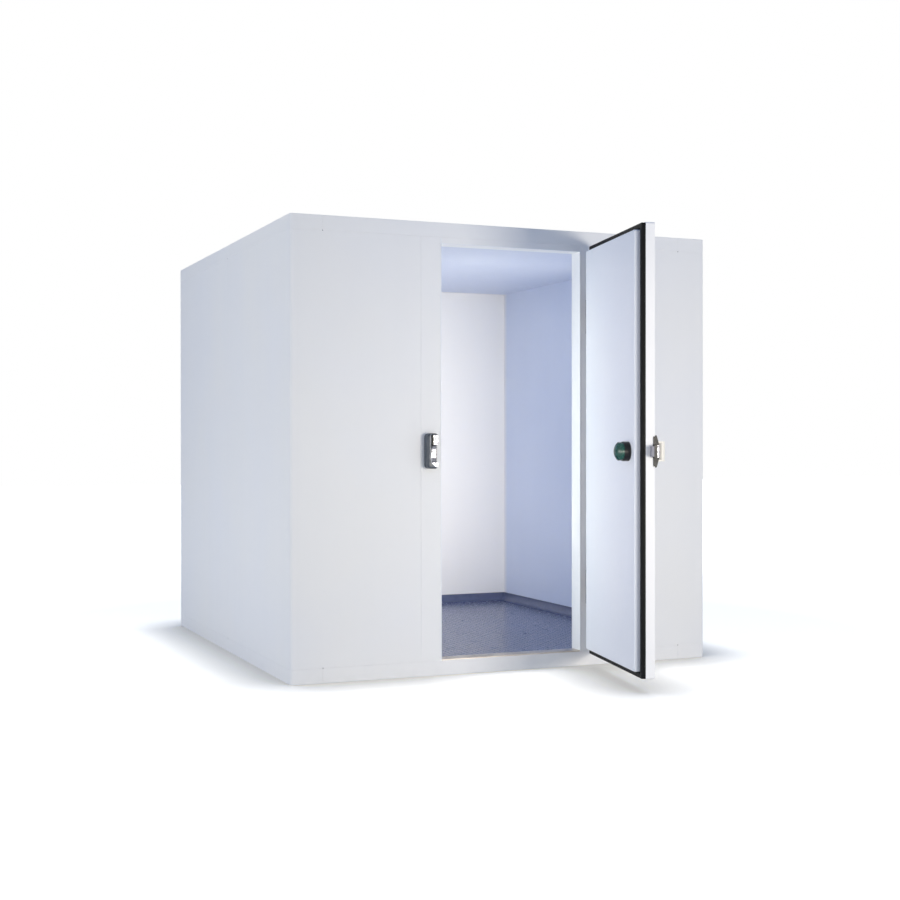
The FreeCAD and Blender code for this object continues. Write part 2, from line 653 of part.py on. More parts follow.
# Lock on the outside of the leaf, at its free edge: bowed cover, latch, bracket and lever
COVER_START = f"({LEAF_FREE_EDGE} - cover_overhang)"
BOW_RADIUS = "(((cover_height / 2)^2 + (cover_depth - cover_rim)^2) / (2 * (cover_depth - cover_rim)))"
cover = prism("lock_cover", "YZ_Plane",
              [("0", "cover_height / 2"), ("0 - cover_rim", "cover_height / 2",
                                           f"{BOW_RADIUS} - cover_depth", "0"),
               ("0 - cover_rim", "0 - cover_height / 2"), ("0", "0 - cover_height / 2")],
              "cover_length")
return_flange = add_loop(new_sketch(cover, "YZ_Plane"),
                         rectangle("0", "cover_rim - cover_height / 2", "cover_return",
                                   "cover_height / 2 - cover_rim"))
pad(cover, return_flange, "cover_overhang")
place_on_door(cover, COVER_START, LEAF_OUTER, "lock_centre")

latch_outline = [("0", "0 - latch_rise"), ("0", "latch_depth - latch_tip"),
                 ("latch_tip - latch_reach", "latch_depth"), ("0 - latch_reach", "latch_depth"),
                 ("0 - latch_reach", "0 - latch_rise / 2"), ("0 - latch_tip", "0 - latch_rise")]
latch = prism("latch", "XY_Plane", latch_outline, "latch_height", lift="0 - latch_height / 2")
shoulders = new_sketch(latch, "YZ_Plane")
for side in ("", "0 - "):
    add_loop(shoulders, rectangle("latch_shoulder", f"{side}latch_tip_height / 2",
                                  "latch_depth * 2", f"{side}latch_height"))
cut(latch, shoulders, both=True)
dress(latch, "Fillet", "latch_edge_radius", lambda box, edge: box.ZLength > number("latch_tip_height") - 0.001)
place_on_door(latch, COVER_START, LEAF_OUTER, "lock_centre")

LEVER_X = f"({COVER_START} + lever_setback)"
LEVER_Y = f"({LEAF_OUTER} - cover_depth - lever_clearance - lever_thickness)"
lever = prism("lever", "XY_Plane",
              [("0", "lever_thickness", "0", "0"), ("0 - lever_thickness", "0", "0", "0"),
               ("0", "0 - lever_thickness"), ("lever_setback * 2", "0 - lever_rise"),
               ("lever_length", "0 - lever_rise", "lever_length", "lever_thickness / 2 - lever_rise"),
               ("lever_length", "lever_thickness - lever_rise"),
               ("lever_setback * 2", "lever_thickness - lever_rise")],
              "lever_height", lift="0 - lever_height / 2")
taper = new_sketch(lever, "XZ_Plane")
add_loop(taper, rectangle("0 - lever_length", "0 - lever_height", "2 * lever_length", "lever_height"))
add_loop(taper, [("0 - lever_thickness * 2", "0 - lever_height / 2"), ("lever_setback", "0 - lever_height / 2"),
                 ("lever_length + lever_thickness", "0 - lever_tip_height / 2"),
                 ("lever_length + lever_thickness", "lever_tip_height / 2"),
                 ("lever_setback", "lever_height / 2"), ("0 - lever_thickness * 2", "lever_height / 2")])
cut(lever, taper, both=True)
grip_start = number("lever_setback")
dress(lever, "Fillet", "lever_edge_radius",
      lambda box, edge: box.XMin > grip_start - 0.001 and box.ZLength < box.XLength)
pivot_hole = new_sketch(lever, "XY_Plane")
pivot_hole.addGeometry(Part.Circle(FreeCAD.Vector(0, 0, 0), FreeCAD.Vector(0, 0, 1), number("pin_radius")), False)
pivot_hole.addConstraint(Sketcher.Constraint("Coincident", 0, 3, -1, 1))
pivot_hole.addConstraint(Sketcher.Constraint("Radius", 0, number("pin_radius")))
bind(pivot_hole, "Constraints[1]", "pin_radius + pin_clearance")
cut(lever, pivot_hole, both=True)
place_on_door(lever, LEVER_X, LEVER_Y, "lock_centre")

lug_gap = "(lever_height / 2 + lever_clearance)"
lugs = []
for z in (lug_gap, f"0 - {lug_gap} - lug_thickness"):
    lugs.append(rod("0", "0", z, "lever_thickness", "lug_thickness"))
    lugs.append(block("lug", "0 - lever_thickness", "0", z, "2 * lever_thickness",
                      "lever_thickness + lever_clearance + cover_depth - cover_rim", "lug_thickness"))
lugs.append(rod("0", "0", f"0 - {lug_gap}", "pin_radius", f"2 * {lug_gap}"))
lug_group = fuse(lugs)
place_on_door(lug_group, LEVER_X, LEVER_Y, "lock_centre")
keep(bore(lug_group, cover), "lever_bracket")

# Safety release inside: a domed push knob in a round collar on the plug
KNOB_X = f"({PLUG_FREE_EDGE} + knob_setback)"


def turned(label, corners):
    """A body turned about its own y axis."""
    body = new_body(label)
    sketch = add_loop(new_sketch(body, "XY_Plane"), corners)
    feature = body.newObject("PartDesign::Revolution", "Revolution")
    feature.Profile = sketch
    feature.ReferenceAxis = (sketch, ["V_Axis"])
    feature.Angle = 360
    place_on_door(body, KNOB_X, PLUG_FACE, "lock_centre")


COLLAR_BORE = "(knob_radius + knob_clearance)"
turned("release_collar", [
    ("0", "0"), (f"{COLLAR_BORE} + collar_wall", "0"), (f"{COLLAR_BORE} + collar_wall", "collar_height"),
    (COLLAR_BORE, "collar_height"), (COLLAR_BORE, "collar_base"), ("0", "collar_base")])
knob_foot = "(collar_base + knob_travel + knob_clearance)"
DOME_RADIUS = "((knob_radius^2 + knob_dome^2) / (2 * knob_dome))"
turned("release_knob", [
    ("0", knob_foot), ("knob_radius", knob_foot),
    ("knob_radius", f"{knob_foot} + knob_skirt", "0", f"{knob_foot} + knob_skirt + knob_dome - {DOME_RADIUS}"),
    ("0", f"{knob_foot} + knob_skirt + knob_dome")])

doc.recompute()

faults = [thing.Label for thing in doc.Objects if "Invalid" in thing.State or "Error" in thing.State]
faults += [s.Label for s in doc.Objects
           if s.isDerivedFrom("Sketcher::SketchObject") and not s.FullyConstrained]
for node in nodes:
    if node.Shape.isNull() or not node.Shape.isValid() or not node.Shape.Solids:
        faults.append(node.Label)
if faults:
    raise SystemExit("These objects failed: " + ", ".join(faults))
for node in nodes:
    node.Shape.exportStep(f"parts/{node.Label}.step")
    box = node.Shape.BoundBox
    print(f"{node.Label:26s} solids {len(node.Shape.Solids)} volume {node.Shape.Volume / 1e6:9.3f} litres"
          f"  x {box.XMin:8.1f} {box.XMax:8.1f}  y {box.YMin:8.1f} {box.YMax:8.1f}"
          f"  z {box.ZMin:7.1f} {box.ZMax:7.1f}")
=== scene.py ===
import json
import math

import bpy
import numpy as np
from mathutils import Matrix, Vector


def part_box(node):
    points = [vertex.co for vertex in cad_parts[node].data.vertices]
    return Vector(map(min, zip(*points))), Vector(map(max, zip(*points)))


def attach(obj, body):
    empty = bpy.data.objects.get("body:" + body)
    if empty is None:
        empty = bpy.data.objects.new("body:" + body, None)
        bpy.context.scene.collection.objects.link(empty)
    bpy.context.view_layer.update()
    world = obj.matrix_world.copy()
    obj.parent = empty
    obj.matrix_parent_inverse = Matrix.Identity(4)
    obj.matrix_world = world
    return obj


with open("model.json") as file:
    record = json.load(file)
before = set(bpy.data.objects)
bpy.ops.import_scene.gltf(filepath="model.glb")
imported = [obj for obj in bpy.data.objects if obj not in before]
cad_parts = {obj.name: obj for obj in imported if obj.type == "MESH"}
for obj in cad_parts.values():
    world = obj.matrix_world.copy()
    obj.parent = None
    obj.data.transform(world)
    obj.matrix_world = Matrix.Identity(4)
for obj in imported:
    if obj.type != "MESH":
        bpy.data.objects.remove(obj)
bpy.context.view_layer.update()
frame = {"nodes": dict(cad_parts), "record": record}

NODES = frame["nodes"]

# The camera, as the photograph shows the room: metres and degrees in the room's own frame
CAMERA_PLACE = (-2.937, -7.359, 1.101)
CAMERA_YAW = 22.94
CAMERA_PITCH = -0.26
CAMERA_ROLL = 0.04
CAMERA_LENS = 56.49
SENSOR_WIDTH = 36.0

# Where the room's own pieces are, metres
SEAM_X = 0.949
DECK_SEAMS = (0.070, 2.080)
FRONT_Y = -1.165
SIDE_X = 1.105
SIDE_JOINT_Y = -0.010
HINGE_CENTRES = (0.390, 1.730)
LOCK_Z = 1.066

# The door's pin, and how far the door stands open at rest
DOOR_PIN = (0.4405, -1.2)
DOOR_ANGLE = math.radians(78.5)
DOOR_COS = math.cos(DOOR_ANGLE)
DOOR_SIN = math.sin(DOOR_ANGLE)

# Lozenges of the floor covering, metres
STUD_PITCH = 0.030
STUD_LENGTH = 0.017
STUD_WIDTH = 0.0062
STUD_HEIGHT = 0.0009
STUD_TOP_SHARE = 0.62
STUD_MARGIN = 0.012
STUD_SIDES = 8
STUD_TURN = math.pi / 4

# How far an added piece reaches into what carries it, metres
SUNK = 0.0002

# Screw heads: rings of the dome as shares of the radius and the rise, the socket as shares of the radius
SCREW_SIDES = 24
SCREW_DOME = ((1.0, 0.35), (0.86, 0.78), (0.58, 1.0))
SOCKET_MOUTH = 0.44
SOCKET_FLOOR = 0.42
SOCKET_DEPTH = 0.5
SOCKET_SECTOR = math.pi / 3

# Radius and rise of each kind of screw head, metres
HINGE_SCREW = (0.0058, 0.0024)
THRESHOLD_SCREW = (0.0042, 0.0010)
KEEPER_SCREW = (0.0030, 0.0010)
COVER_SCREW = (0.0040, 0.0012)

# Where the screws are, metres; on the door from its pin, along the shut door and out of it
HINGE_PLATE = 0.007
HINGE_SCREW_EDGE = 0.022
HINGE_SCREW_STEP = 0.060
LEAF_PLATE_FACE = -0.0345
LEAF_SCREW_PLACES = (-0.075, -0.040)
THRESHOLD_SCREW_EDGE = 0.045
THRESHOLD_SCREW_SHARES = (-1, -0.33, 0.33, 1)
KEEPER_SCREW_PLACE = (-0.404, -1.176)
KEEPER_SCREW_STEP = 0.013
COVER_SCREW_PLACE = (-0.690, -0.0403)
COVER_SCREW_STEP = 0.045
COVER_BOW = 0.1977

# Sealant plugs: metres, and rings as shares of the radius and the rise
PLUG_RADIUS = 0.0023
PLUG_RISE = 0.0004
PLUG_RINGS = ((1.0, -3.0), (1.0, 0.4), (0.7, 1.0))
PLUG_SIDES = 14

# The lining of the room: how thick its colour is, and where the painted light on the rear wall starts and
# is full
SKIN = 0.004
REAR_LIGHT_FADE = (0.05, 0.002)

# The strike's case and its recess: planes along x, y and z, then the bevel, the curved corner and the slack
RECESS_LEFT = -0.429
CASE_RIGHT = -0.36
CASE_FRONT = -1.22
RECESS_LIP = -1.2058
CASE_BACK = -1.16
CASE_FOOT = 0.95
CASE_HEAD = 1.20
BEVEL_FOOT = 0.97
BEVEL_HEAD = 1.143
RECESS_BEVEL = 0.0040
RECESS_CURVE = (-0.389, 1.0305)
RECESS_RADIUS = 0.040
SLACK = 0.0002
CURVE_BEFORE = 0.010
CURVE_BEYOND = 0.001

# The box of painted shade, in black, down the keeper's left edge where the gap's shadow falls
KEEPER_SHADE_LOW = (-0.43, -1.21, 1.0375)
KEEPER_SHADE_HIGH = (-0.4135, -1.16, 1.16)

# The latch in the shut door's frame: along the door, out of it, and up
LATCH_ALONG = (-0.90, -0.80)
LATCH_DARK_BAND = (-0.0275, -0.0125)
LATCH_TIP_END = 0.02
LATCH_UP = (1.0, 1.2)

# The stage: rays that see it as white, its size, its colour, its own light near and far, and the painted
# shadow that dims that light near the room
SEEN_RAYS = ("Is Camera Ray", "Is Glossy Ray", "Is Transmission Ray")
FLOOR_SIZE = 60.0
FLOOR_COLOUR = (0.84, 0.80, 0.71, 1.0)
FLOOR_LIFT_NEAR = 0.80
FLOOR_LIFT_FAR = 1.4
FLOOR_FADE = (2.6, 5.5)
PAINTED_SHADOW_REACH = 0.36
PAINTED_SHADOW_DEPTH = 3.0
CONTACT_SAMPLES = 8
SKY_COLOUR = (0.40, 0.59, 1.0, 1.0)
SKY_STRENGTH = 0.41
WHITE = (1.0, 1.0, 1.0, 1.0)

# The lamps: name, place, target, width and height in metres, watts, colour, spread in degrees
LAMPS = (
    ("low_right", (1.8, -6.5, 0.9), (0.1, -1.1, 0.95), 2.0, 1.2, 147.0, (1.0, 0.93, 0.81), 180),
    ("front_mid", (-0.7, -3.6, 1.15), (-0.5, -1.165, 1.1), 0.6, 0.5, 4.0, (1.0, 0.88, 0.60), 180),
    ("side_left", (-6.5, -1.6, 1.1), (-1.0, 0.4, 0.9), 3.5, 2.4, 140.0, (1.0, 0.96, 0.87), 180),
    ("rear_high", (0.45, -0.75, 1.62), (0.35, 1.1, 1.66), 0.8, 0.8, 2.9, (1.0, 0.93, 0.75), 70),
    ("rear_low", (0.45, -0.75, 0.62), (0.35, 1.1, 0.55), 0.8, 0.8, 3.2, (1.0, 0.92, 0.75), 70),
    ("inside_side", (-0.80, 0.1, 0.80), (1.0, 0.5, 0.65), 1.2, 1.2, 8.0, (0.80, 0.87, 1.0), 180),
    ("inside_up", (0.0, -0.75, 0.5), (0.1, -0.45, 2.0), 0.9, 0.5, 3.2, (1.0, 0.98, 0.89), 90),
    ("inside_left", (-0.62, -0.86, 1.05), (0.40, -1.32, 1.0), 0.35, 1.7, 2.1, (0.97, 1.0, 0.80), 80),
    ("door_fill", (-1.15, -2.35, 1.05), (0.34, -1.60, 1.05), 0.6, 1.8, 1.4, (1.0, 0.86, 0.76), 45),
)

# The shader's sockets by the words that set() takes
SOCKETS = {
    "base_color": "Base Color", "roughness": "Roughness", "metallic": "Metallic",
    "specular": "Specular IOR Level",
}


def linear(red, green, blue):
    """A colour written as 0 to 255 screen values, in the linear light that shaders use."""
    def one(value):
        share = value / 255
        return share / 12.92 if share <= 0.04045 else ((share + 0.055) / 1.055) ** 2.4
    return (one(red), one(green), one(blue), 1.0)


# Colours that more than one finish or face takes
OUTER_WHITE = linear(238, 239, 242)
OUTER_WHITE_WARM = linear(240, 240, 240)
# painted shade: the bluish white inside the room is partly the coat's own tint and partly painted shade
INNER_TINT_AND_SHADE = linear(216, 224, 243)
INNER_TINT_AND_SHADE_DEEP = linear(210, 219, 240)
# painted light: the rear wall's lighter, neutral white stands for light falling on it through the doorway
REAR_PAINTED_LIGHT = linear(240, 240, 243)
STREAK_GREY = linear(196, 200, 212)
DUST_GREY = linear(196, 194, 192)
# painted shade: black inside the strike's recess, where shadow falls
RECESS_PAINTED_SHADE = linear(10, 11, 14)
# painted highlight: a light line on the bevel round the strike's recess
BEVEL_PAINTED_HIGHLIGHT = linear(206, 207, 212)
# painted shade: black on the keeper's left edge, standing for the shadow in the gap
KEEPER_PAINTED_SHADE = linear(8, 9, 12)
LATCH_BLACK = linear(12, 13, 17)
LATCH_GREY = linear(122, 124, 138)


class Finish:
    """A material under construction. Coordinates are the piece's own, in metres."""

    def __init__(self, name):
        self.material = bpy.data.materials.new(name)
        self.material.use_nodes = True
        self.tree = self.material.node_tree
        self.shader = self.tree.nodes["Principled BSDF"]
        self.place = self.node("ShaderNodeTexCoord").outputs["Object"]

    def node(self, kind, **settings):
        """A new node with some of its settings given."""
        made = self.tree.nodes.new(kind)
        for name, value in settings.items():
            setattr(made, name, value)
        return made

    def put(self, socket, value):
        """Link a socket to another node's output, or give it a value."""
        if isinstance(value, bpy.types.NodeSocket):
            self.tree.links.new(value, socket)
        else:
            socket.default_value = value

    def set(self, **values):
        """Values of the shader's own sockets, such as base_color or roughness."""
        for name, value in values.items():
            self.put(self.shader.inputs[SOCKETS[name]], value)

    def stretched(self, scale):
        """The place on the piece, with each axis scaled."""
        mapping = self.node("ShaderNodeMapping")
        self.put(mapping.inputs["Vector"], self.place)
        mapping.inputs["Scale"].default_value = scale
        return mapping.outputs["Vector"]

    def noise(self, scale, detail=3.0, rough=0.5, stretch=(1, 1, 1)):
        """Cloudy noise from 0 to 1, with about scale features in a metre."""
        texture = self.node("ShaderNodeTexNoise")
        self.put(texture.inputs["Vector"], self.stretched(stretch))
        texture.inputs["Scale"].default_value = scale
        texture.inputs["Detail"].default_value = detail
        texture.inputs["Roughness"].default_value = rough
        return texture.outputs["Fac"]

    def cells(self, scale):
        """How far the nearest of many scattered points is, with about scale points in a metre."""
        texture = self.node("ShaderNodeTexVoronoi", feature="F1")
        self.put(texture.inputs["Vector"], self.stretched((1, 1, 1)))
        texture.inputs["Scale"].default_value = scale
        return texture.outputs["Distance"]

    def math(self, operation, first, second=0.0):
        """The result of one sum."""
        made = self.node("ShaderNodeMath", operation=operation)
        self.put(made.inputs[0], first)
        self.put(made.inputs[1], second)
        return made.outputs[0]

    def ramp(self, value, low, high, to_low=0.0, to_high=1.0):
        """A value carried from one range to another, and held at its ends."""
        made = self.node("ShaderNodeMapRange", clamp=True)
        for name, number in (("Value", value), ("From Min", low), ("From Max", high),
                             ("To Min", to_low), ("To Max", to_high)):
            self.put(made.inputs[name], number)
        return made.outputs["Result"]

    def patches(self, scale, detail, rough, low, high):
        """Soft patches, 0 where the noise is under low and 1 where it is over high."""
        return self.ramp(self.noise(scale, detail=detail, rough=rough), low, high)

    def uneven(self, scale, detail, least, most):
        """A value that wanders between least and most."""
        return self.ramp(self.noise(scale, detail=detail), 0.3, 0.7, least, most)

    def mix(self, share, first, second):
        """The first colour where share is 0, the second where it is 1."""
        made = self.node("ShaderNodeMix", data_type="RGBA")
        self.put(made.inputs["Factor"], share)
        self.put(made.inputs[6], first)
        self.put(made.inputs[7], second)
        return made.outputs[2]

    def axis(self, index):
        """The place along one axis of the room."""
        split = self.node("ShaderNodeSeparateXYZ")
        self.put(split.inputs[0], self.place)
        return split.outputs[index]

    def door_axis(self, index):
        """How far along one axis of the shut door, measured from its pin."""
        if index == 2:
            return self.axis(2)
        ahead, aside = (DOOR_COS, DOOR_SIN) if index == 0 else (-DOOR_SIN, DOOR_COS)
        x = self.math("MULTIPLY", self.math("SUBTRACT", self.axis(0), DOOR_PIN[0]), ahead)
        y = self.math("MULTIPLY", self.math("SUBTRACT", self.axis(1), DOOR_PIN[1]), aside)
        return self.math("ADD", x, y)

    def ring(self, centre, inner, outer):
        """1 between two radii about an axis along y through centre (x, z), 0 elsewhere."""
        dx = self.math("SUBTRACT", self.axis(0), centre[0])
        dz = self.math("SUBTRACT", self.axis(2), centre[1])
        squares = self.math("ADD", self.math("MULTIPLY", dx, dx), self.math("MULTIPLY", dz, dz))
        off = self.math("ABSOLUTE", self.math("SUBTRACT", self.math("SQRT", squares), (inner + outer) / 2))
        return self.math("LESS_THAN", off, (outer - inner) / 2)

    def inside(self, low, high, door=False):
        """1 within a box of the room's frame, or of the shut door's, and 0 outside it."""
        share = None
        for index in range(3):
            centre = (low[index] + high[index]) / 2
            half = (high[index] - low[index]) / 2
            along = self.door_axis(index) if door else self.axis(index)
            off = self.math("ABSOLUTE", self.math("SUBTRACT", along, centre))
            within = self.math("LESS_THAN", off, half)
            share = within if share is None else self.math("MULTIPLY", share, within)
        return share

    def colour(self):
        """What the shader's colour is linked to so far."""
        return self.shader.inputs["Base Color"].links[0].from_socket

    def bump(self, height, distance, strength):
        """Relief of a height field from 0 to 1, which stands distance metres tall."""
        made = self.node("ShaderNodeBump")
        made.inputs["Strength"].default_value = strength
        made.inputs["Distance"].default_value = distance
        self.put(made.inputs["Height"], height)
        if self.shader.inputs["Normal"].is_linked:
            self.put(made.inputs["Normal"], self.shader.inputs["Normal"].links[0].from_socket)
        self.put(self.shader.inputs["Normal"], made.outputs["Normal"])


def coated_steel(name, outer, outer_worn, inner=None, inner_worn=None):
    """Enamelled sheet steel: a slight orange peel, streaks up the sheet and dust at the foot.

    Where an inner colour is given, it covers what is within the room: a bluish white that is partly the
    coat's own tint and partly painted shade, and the rear wall has its own lighter white, which is painted
    light."""
    made = Finish(name)
    tone = made.ramp(made.noise(1.3, detail=2.0), 0.35, 0.65)
    streaks = made.noise(9.0, detail=4.0, stretch=(1, 1, 0.04))
    colour = made.mix(tone, outer, outer_worn)
    if inner:
        room_low, room_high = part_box("floor_covering")
        ceiling_low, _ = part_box("ceiling_panel_front")
        low = (room_low.x - SKIN, room_low.y - SKIN, room_low.z - SKIN)
        high = (room_high.x + SKIN, room_high.y + SKIN, ceiling_low.z + SKIN)
        # painted light on the rear wall, and painted shade in bluish white on the rest within the room
        rear = made.ramp(made.axis(1), room_high.y - REAR_LIGHT_FADE[0], room_high.y - REAR_LIGHT_FADE[1])
        within = made.mix(rear, made.mix(tone, inner, inner_worn), REAR_PAINTED_LIGHT)
        colour = made.mix(made.inside(low, high), colour, within)
    colour = made.mix(made.ramp(streaks, 0.3, 0.75, to_low=0.0, to_high=0.03), colour, STREAK_GREY)
    near_foot = made.ramp(made.axis(2), 0.0, 0.12, to_low=0.06, to_high=0.0)
    dust = made.math("MULTIPLY", near_foot, made.ramp(made.noise(26.0, detail=6.0), 0.42, 0.7))
    made.set(base_color=made.mix(dust, colour, DUST_GREY), specular=0.30,
             roughness=made.uneven(34.0, detail=5.0, least=0.42, most=0.52))
    made.bump(made.noise(1.6, detail=0.0, stretch=(1, 1, 0.3)), distance=0.0008, strength=0.35)
    made.bump(made.noise(420.0, detail=2.0), distance=0.00003, strength=0.4)
    return made.material


def moulded(name, colour, worn, roughness, grain=900.0, depth=0.00005, shine=0.45):
    """Moulded plastic with a fine eroded grain and slightly rubbed patches."""
    made = Finish(name)
    rub = made.patches(22.0, detail=5.0, rough=0.6, low=0.42, high=0.72)
    made.set(base_color=made.mix(rub, colour, worn), specular=shine,
             roughness=made.uneven(60.0, detail=4.0, least=roughness - 0.06, most=roughness + 0.08))
    made.bump(made.cells(grain), distance=depth, strength=0.6)
    return made.material


def rubber(name):
    """Black rubber with a faint bloom."""
    made = Finish(name)
    bloom = made.patches(18.0, detail=6.0, rough=0.65, low=0.45, high=0.8)
    made.set(base_color=made.mix(bloom, linear(6, 7, 10), linear(14, 15, 20)), specular=0.1,
             roughness=made.uneven(70.0, detail=3.0, least=0.42, most=0.60))
    made.bump(made.noise(650.0, detail=2.0), distance=0.00008, strength=0.5)
    return made.material


def brushed(name, colour, dull, roughness):
    """Metal brushed along x, with fine scratches and duller handled patches."""
    made = Finish(name)
    grain = made.noise(700.0, detail=3.0, stretch=(0.012, 1.0, 1.0))
    handled = made.patches(11.0, detail=5.0, rough=0.6, low=0.4, high=0.72)
    made.set(base_color=made.mix(handled, colour, dull), metallic=1.0,
             roughness=made.ramp(grain, 0.25, 0.75, roughness - 0.07, roughness + 0.12))
    made.bump(grain, distance=0.00006, strength=0.5)
    return made.material


def cast_metal(name, colour, dull, roughness):
    """Cast metal with dull patches and a fine pitted skin."""
    made = Finish(name)
    dulled = made.patches(16.0, detail=6.0, rough=0.62, low=0.38, high=0.7)
    made.set(base_color=made.mix(dulled, colour, dull), metallic=1.0,
             roughness=made.uneven(85.0, detail=4.0, least=roughness - 0.06, most=roughness + 0.1))
    made.bump(made.noise(520.0, detail=3.0), distance=0.00008, strength=0.5)
    return made.material


def sheet_vinyl(name):
    """Slate-blue safety flooring: flecked, scuffed along the way in, satin."""
    made = Finish(name)
    flecks = made.ramp(made.cells(230.0), 0.16, 0.3, to_low=1.0, to_high=0.0)
    cloud = made.patches(5.0, detail=5.0, rough=0.6, low=0.35, high=0.7)
    scuffs = made.ramp(made.noise(16.0, detail=7.0, rough=0.7, stretch=(1, 0.25, 1)), 0.55, 0.78)
    colour = made.mix(cloud, linear(76, 86, 120), linear(92, 102, 136))
    colour = made.mix(made.math("MULTIPLY", flecks, 0.35), colour, linear(70, 79, 110))
    colour = made.mix(made.math("MULTIPLY", scuffs, 0.5), colour, linear(158, 166, 190))
    made.set(base_color=colour, specular=0.5,
             roughness=made.uneven(40.0, detail=5.0, least=0.18, most=0.30))
    made.bump(made.noise(360.0, detail=3.0), distance=0.00008, strength=0.5)
    return made.material


def plated_steel(name):
    """Plated steel with mottled tarnish and fine scratches, to which more can be added."""
    made = Finish(name)
    tarnish = made.patches(95.0, detail=6.0, rough=0.7, low=0.36, high=0.66)
    made.set(base_color=made.mix(tarnish, linear(176, 177, 184), linear(84, 84, 92)), metallic=1.0,
             roughness=made.ramp(tarnish, 0.0, 1.0, 0.26, 0.46))
    made.bump(made.noise(240.0, detail=4.0), distance=0.0001, strength=0.5)
    return made


def strike_finish():
    """Blue-grey plastic, with painted shade in black within the recess and a painted highlight on the bevel
    round the recess's mouth.
    """
    made = Finish("strike_plastic")
    rub = made.patches(22.0, detail=5.0, rough=0.6, low=0.42, high=0.72)
    colour = made.mix(rub, linear(72, 79, 88), linear(82, 89, 98))
    # painted shade: the recess is coloured black
    recess_shade = made.inside((RECESS_LEFT - 2 * SLACK, RECESS_LIP, CASE_FOOT), (CASE_RIGHT, CASE_BACK, CASE_HEAD))
    colour = made.mix(recess_shade, colour, RECESS_PAINTED_SHADE)
    # painted highlight: the bevel round the recess's mouth is coloured bright
    straight = made.inside((RECESS_LEFT - RECESS_BEVEL, CASE_FRONT, RECESS_CURVE[1]),
                           (RECESS_LEFT + SLACK, RECESS_LIP, BEVEL_HEAD))
    corner = made.inside((RECESS_LEFT - CURVE_BEFORE, CASE_FRONT, BEVEL_FOOT),
                         (RECESS_CURVE[0] + CURVE_BEYOND, RECESS_LIP, RECESS_CURVE[1]))
    round_corner = made.ring(RECESS_CURVE, RECESS_RADIUS - SLACK, RECESS_RADIUS + RECESS_BEVEL)
    bevel = made.math("MAXIMUM", straight, made.math("MULTIPLY", corner, round_corner))
    made.set(base_color=made.mix(bevel, colour, BEVEL_PAINTED_HIGHLIGHT), specular=0.35,
             roughness=made.uneven(60.0, detail=4.0, least=0.30, most=0.42))
    made.bump(made.cells(900.0), distance=0.00005, strength=0.6)
    return made.material


def keeper_finish():
    """Plated steel with painted shade in black, not metal, down its left edge above the gap."""
    made = plated_steel("keeper_plating")
    # painted shade: the keeper is black and not metal within this box
    keeper_shade = made.inside(KEEPER_SHADE_LOW, KEEPER_SHADE_HIGH)
    made.set(base_color=made.mix(keeper_shade, made.colour(), KEEPER_PAINTED_SHADE),
             metallic=made.ramp(keeper_shade, 0.0, 1.0, to_low=1.0, to_high=0.0))
    return made.material


def latch_finish():
    """Plated steel: bright at the front, black in a band behind it and grey at the tip."""
    made = plated_steel("latch_plating")

    def between(start, end):
        low = (LATCH_ALONG[0], start, LATCH_UP[0])
        high = (LATCH_ALONG[1], end, LATCH_UP[1])
        return made.inside(low, high, door=True)

    body = between(*LATCH_DARK_BAND)
    tip = between(LATCH_DARK_BAND[1], LATCH_TIP_END)
    colour = made.mix(tip, made.mix(body, made.colour(), LATCH_BLACK), LATCH_GREY)
    made.set(base_color=colour, specular=0.3,
             metallic=made.ramp(made.math("ADD", body, tip), 0.0, 1.0, to_low=1.0, to_high=0.0))
    return made.material


PANEL = coated_steel("panel_coating", OUTER_WHITE, OUTER_WHITE_WARM, INNER_TINT_AND_SHADE, INNER_TINT_AND_SHADE_DEEP)
LEAF = coated_steel("door_coating", linear(243, 244, 247), linear(241, 242, 245))
PLUG = coated_steel("plug_coating", linear(226, 231, 241), linear(222, 228, 240))
LINING = moulded("lining_profile", linear(238, 241, 246), linear(235, 239, 245), 0.34,
                 depth=0.00002, shine=0.35)
FLOOR_FINISH = sheet_vinyl("floor_vinyl")
COVE = moulded("cove_profile", linear(84, 93, 124), linear(76, 85, 116), 0.34, grain=500.0)
THRESHOLD = brushed("threshold_metal", linear(196, 188, 180), linear(168, 159, 150), 0.34)
RIM = moulded("rim_profile", linear(5, 6, 9), linear(10, 11, 15), 0.40, shine=0.10)
GASKET = rubber("gasket_rubber")
HINGE = cast_metal("hinge_casting", linear(176, 180, 188), linear(142, 146, 156), 0.34)
STRIKE = strike_finish()
KEEPER = keeper_finish()
LATCH = latch_finish()
BLACK = moulded("black_plastic", linear(12, 13, 17), linear(22, 23, 28), 0.34, shine=0.25)
LEVER = moulded("lever_plastic", linear(236, 233, 226), linear(228, 225, 218), 0.32)
RELEASE = moulded("release_plastic", linear(0, 66, 57), linear(2, 74, 64), 0.24)
SCREW = brushed("screw_steel", linear(196, 198, 204), linear(150, 152, 160), 0.25)
JOINT_PLUG = moulded("joint_plug_plastic", linear(96, 100, 110), linear(84, 88, 98), 0.45)

SLOT_FINISHES = {
    "panel": PANEL, "deck": PANEL, "lining": LINING, "threshold": THRESHOLD,
    "floor_finish": FLOOR_FINISH, "cove": COVE, "door_skin": LEAF, "black_plastic": BLACK,
    "gasket": GASKET, "hinge_metal": HINGE, "strike_plastic": STRIKE, "keeper_metal": KEEPER,
    "lever_plastic": LEVER, "release_green": RELEASE,
}
NODE_FINISHES = {"door_plug": PLUG, "door_rim": RIM, "latch": LATCH}


